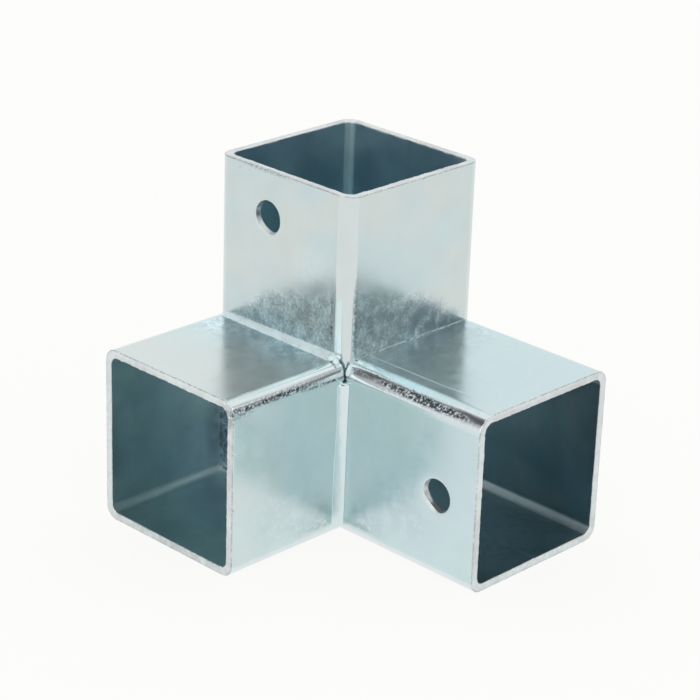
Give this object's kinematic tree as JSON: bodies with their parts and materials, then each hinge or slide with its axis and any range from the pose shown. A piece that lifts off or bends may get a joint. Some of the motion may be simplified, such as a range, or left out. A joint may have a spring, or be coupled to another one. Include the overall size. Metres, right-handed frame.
{
  "type": "square tube corner connector",
  "caption": "Corner connector of welded square steel tube with three open sockets at right angles and screw holes.",
  "frame": {"origin": "on the flat underside, straight below the centre line of the upright tube", "axes": "+Z along the upright tube, +Y along the through tube's socket, +X along the side tube's socket and out of the walls with the screw holes"},
  "size_m": [0.081, 0.088, 0.086],
  "materials": {
    "plated_tube": "bright zinc plating with a slight blue cast over rolled tube",
    "plated_weld": "bright zinc plating over smoothed weld metal"
  },
  "bodies": {
    "root": {"through_tube": "plated_tube", "upright_tube": "plated_tube", "side_tube": "plated_tube", "corner_weld": "plated_weld", "side_weld": "plated_weld", "through_weld": "plated_weld"}
  },
  "joints": []
}
